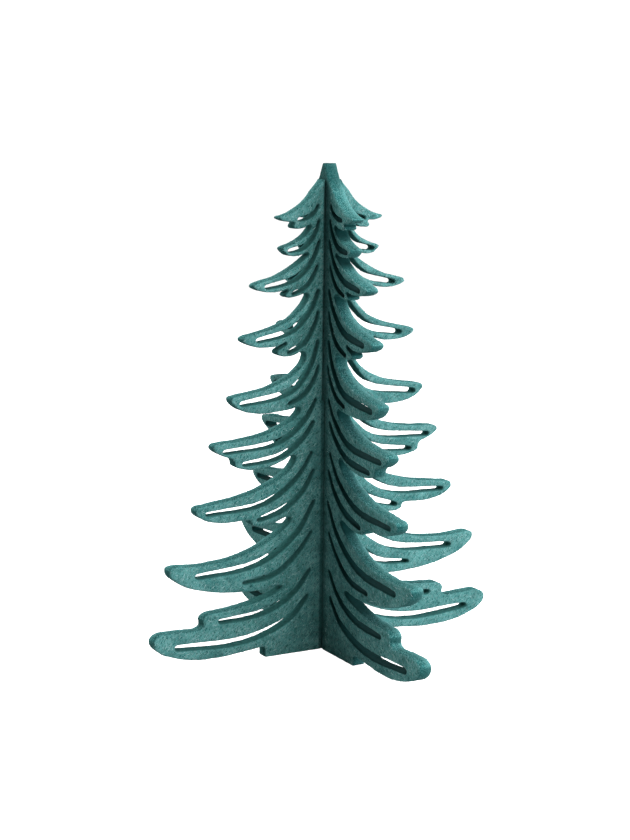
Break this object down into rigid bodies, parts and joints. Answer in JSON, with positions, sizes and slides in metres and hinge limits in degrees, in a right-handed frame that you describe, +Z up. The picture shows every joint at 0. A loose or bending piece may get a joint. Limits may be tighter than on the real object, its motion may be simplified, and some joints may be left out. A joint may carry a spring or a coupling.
{
  "type": "felt christmas tree",
  "caption": "Free-standing felt tree made of flat branch-shaped panels that slot into each other crosswise and lift apart.",
  "frame": {"origin": "on the table under the spine, at the middle of the feet", "axes": "+Z up along the spine; +X along the panel slotted from the top; +Y along the panel slotted from the bottom"},
  "size_m": [0.236, 0.236, 0.3],
  "materials": {
    "felt": "teal pressed wool felt, matt and mottled"
  },
  "bodies": {
    "standing_panel": {"top_slotted_panel": "felt"},
    "lifting_panel": {"bottom_slotted_panel": "felt"}
  },
  "joints": [
    {"name": "lift_apart", "type": "slide", "parent": "standing_panel", "child": "lifting_panel", "axis": [0, 0, 1], "range_m": [0, 0.3]}
  ]
}
